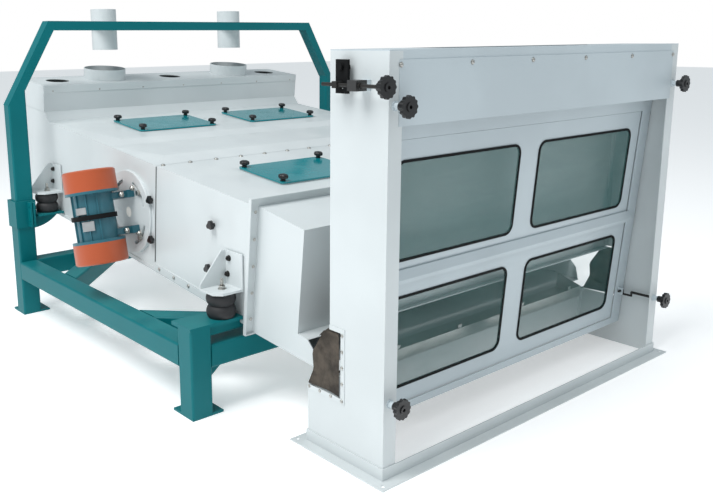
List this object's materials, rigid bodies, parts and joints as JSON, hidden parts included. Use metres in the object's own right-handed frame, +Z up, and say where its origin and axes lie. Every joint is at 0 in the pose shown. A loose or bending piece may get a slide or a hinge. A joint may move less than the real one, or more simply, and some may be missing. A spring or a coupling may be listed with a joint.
{
  "type": "vibrating sieve",
  "caption": "Inclined vibrating grain sieve on rubber springs in a box-section frame with a gantry, two tilted vibration motors and a free-standing glazed aspiration channel.",
  "frame": {"origin": "middle of the footprint at floor level", "axes": "+X across the machine, to the right seen from the discharge end; +Y from the discharge end to the feed end; +Z up"},
  "size_m": [1.99, 2.5236, 1.357],
  "materials": {
    "frame_teal": "satin paint",
    "panel_white": "satin paint",
    "pipe_white": "satin paint",
    "hatch_teal": "gloss paint",
    "motor_teal": "satin paint",
    "cover_orange": "satin paint",
    "spring_rubber": "matt moulded rubber",
    "knob_black": "matt moulded",
    "gasket_black": "matt",
    "cable_black": "matt",
    "pane_glass": "clear",
    "bolt_steel": "zinc plated",
    "screen_steel": "perforated sheet",
    "weight_iron": "machined",
    "sieve_wood": "planed wood",
    "canvas_brown": "woven canvas"
  },
  "bodies": {
    "base": {"foot_plates": "frame_teal", "frame_legs": "frame_teal", "frame_beams": "frame_teal", "frame_braces": "frame_teal", "spring_arms": "frame_teal", "gantry_posts": "frame_teal", "gantry_arch": "frame_teal", "splice_collars": "frame_teal", "front_springs": "spring_rubber", "rear_springs": "spring_rubber", "inlet_pipes": "pipe_white", "channel_cheeks": "panel_white", "base_angles": "panel_white", "front_cover": "panel_white", "top_box": "panel_white", "back_panels": "panel_white", "canvas_sleeve": "canvas_brown", "sleeve_strips": "panel_white", "rod_bushes": "panel_white"},
    "sieve_body": {"side_panels": "panel_white", "bottom_pan": "panel_white", "main_deck": "panel_white", "front_deck": "panel_white", "feed_box": "panel_white", "discharge_hood": "panel_white", "spring_brackets": "panel_white", "sieve_frames": "sieve_wood", "sieve_screens": "screen_steel", "side_knobs": "knob_black", "disc_pins": "bolt_steel", "feed_lip": "screen_steel"},
    "rear_left_lid": {"rear_left_hatch": "hatch_teal"},
    "rear_right_lid": {"rear_right_hatch": "hatch_teal"},
    "front_left_lid": {"front_left_hatch": "hatch_teal"},
    "front_right_lid": {"front_right_hatch": "hatch_teal"},
    "left_motor": {"left_motor_disc": "panel_white", "left_motor_body": "motor_teal", "left_motor_covers": "cover_orange", "left_motor_cable": "cable_black"},
    "right_motor": {"right_motor_disc": "panel_white", "right_motor_body": "motor_teal", "right_motor_covers": "cover_orange", "right_motor_cable": "cable_black"},
    "left_rotor": {"left_motor_rotor": "weight_iron"},
    "right_rotor": {"right_motor_rotor": "weight_iron"},
    "upper_rods": {"upper_hook_rods": "bolt_steel"},
    "lower_rods": {"lower_hook_rods": "bolt_steel"},
    "window_wall": {"wall_frame": "panel_white", "upper_panel": "panel_white", "lower_panel": "panel_white", "window_gaskets": "gasket_black", "window_panes": "pane_glass"},
    "upper_left_handwheel": {"upper_left_wheel": "knob_black"},
    "upper_right_handwheel": {"upper_right_wheel": "knob_black"},
    "lower_left_handwheel": {"lower_left_wheel": "knob_black"},
    "lower_right_handwheel": {"lower_right_wheel": "knob_black"},
    "damper_spindle": {"damper_wheel": "knob_black", "damper_screw": "bolt_steel"},
    "damper_carriage": {"damper_nut": "bolt_steel"},
    "damper_flap": {"damper_flap": "gasket_black"}
  },
  "joints": [
    {"name": "vibration", "type": "slide", "parent": "base", "child": "sieve_body", "axis": [0, 0.9903, -0.1392], "range_m": [-0.004, 0.004], "stiffness_N_per_m": 1000000, "deforming": ["front_springs", "rear_springs"]},
    {"name": "rear_left_lift", "type": "slide", "parent": "sieve_body", "child": "rear_left_lid", "axis": [0, -0.1, 0.995], "range_m": [0, 0.25]},
    {"name": "rear_right_lift", "type": "slide", "parent": "sieve_body", "child": "rear_right_lid", "axis": [0, -0.1, 0.995], "range_m": [0, 0.25]},
    {"name": "front_left_lift", "type": "slide", "parent": "sieve_body", "child": "front_left_lid", "axis": [0, -0.1, 0.995], "range_m": [0, 0.25]},
    {"name": "front_right_lift", "type": "slide", "parent": "sieve_body", "child": "front_right_lid", "axis": [0, -0.1, 0.995], "range_m": [0, 0.25]},
    {"name": "left_motor_angle", "type": "hinge", "parent": "sieve_body", "child": "left_motor", "pos_m": [-0.74, 0.19, 0.552], "axis": [1, 0, 0], "range_deg": [-20, 20]},
    {"name": "right_motor_angle", "type": "hinge", "parent": "sieve_body", "child": "right_motor", "pos_m": [0.74, 0.19, 0.552], "axis": [1, 0, 0], "range_deg": [-20, 20]},
    {"name": "left_rotor_spin", "type": "hinge", "parent": "left_motor", "child": "left_rotor", "pos_m": [-0.895, 0.19, 0.552], "axis": [0, 0.225, 0.9744], "continuous": true},
    {"name": "right_rotor_spin", "type": "hinge", "parent": "right_motor", "child": "right_rotor", "pos_m": [0.895, 0.19, 0.552], "axis": [0, 0.225, 0.9744], "continuous": true},
    {"name": "wall_shift", "type": "slide", "parent": "base", "child": "upper_rods", "axis": [0, 1, 0], "range_m": [-0.02, 0.02]},
    {"name": "wall_tilt", "type": "hinge", "parent": "upper_rods", "child": "window_wall", "pos_m": [0, -1.14198, 1.04339], "axis": [1, 0, 0], "range_deg": [-1.4, 1.4]},
    {"name": "lower_rod_slide", "type": "slide", "parent": "upper_rods", "child": "lower_rods", "axis": [0, 1, 0], "range_m": [-0.021, 0.021]},
    {"name": "upper_left_wheel_turn", "type": "hinge", "parent": "base", "child": "upper_left_handwheel", "pos_m": [-0.727, -1.251, 1.044], "axis": [0, -1, 0], "range_deg": [-5400, 5400]},
    {"name": "upper_right_wheel_turn", "type": "hinge", "parent": "base", "child": "upper_right_handwheel", "pos_m": [0.727, -1.251, 1.044], "axis": [0, -1, 0], "range_deg": [-5400, 5400]},
    {"name": "lower_left_wheel_turn", "type": "hinge", "parent": "base", "child": "lower_left_handwheel", "pos_m": [-0.727, -1.251, 0.228], "axis": [0, -1, 0], "range_deg": [-5400, 5400]},
    {"name": "lower_right_wheel_turn", "type": "hinge", "parent": "base", "child": "lower_right_handwheel", "pos_m": [0.727, -1.251, 0.228], "axis": [0, -1, 0], "range_deg": [-5400, 5400]},
    {"name": "damper_wheel_turn", "type": "hinge", "parent": "base", "child": "damper_spindle", "pos_m": [-0.792, -1.237, 1.095], "axis": [0, -1, 0], "range_deg": [-6600, 6600]},
    {"name": "damper_nut_slide", "type": "slide", "parent": "base", "child": "damper_carriage", "axis": [0, 1, 0], "range_m": [-0.025, 0.025]},
    {"name": "damper_turn", "type": "hinge", "parent": "base", "child": "damper_flap", "pos_m": [0, -1.055, 1.14], "axis": [1, 0, 0], "range_deg": [-25, 25]}
  ],
  "couplings": [
    {"joint": "lower_rod_slide", "follows": "wall_tilt", "m_per_rad": 0.81365},
    {"joint": "damper_nut_slide", "follows": "damper_turn", "m_per_rad": 0.045},
    {"joint": "upper_left_wheel_turn", "follows": "wall_shift", "rad_per_m": 4188.8},
    {"joint": "upper_right_wheel_turn", "follows": "wall_shift", "rad_per_m": 4188.8},
    {"joint": "lower_left_wheel_turn", "follows": "wall_tilt", "ratio": 3408.2},
    {"joint": "lower_right_wheel_turn", "follows": "wall_tilt", "ratio": 3408.2},
    {"joint": "damper_wheel_turn", "follows": "damper_turn", "ratio": 188.5},
    {"joint": "right_rotor_spin", "follows": "left_rotor_spin", "ratio": -1},
    {"joint": "right_motor_angle", "follows": "left_motor_angle", "ratio": 1}
  ]
}
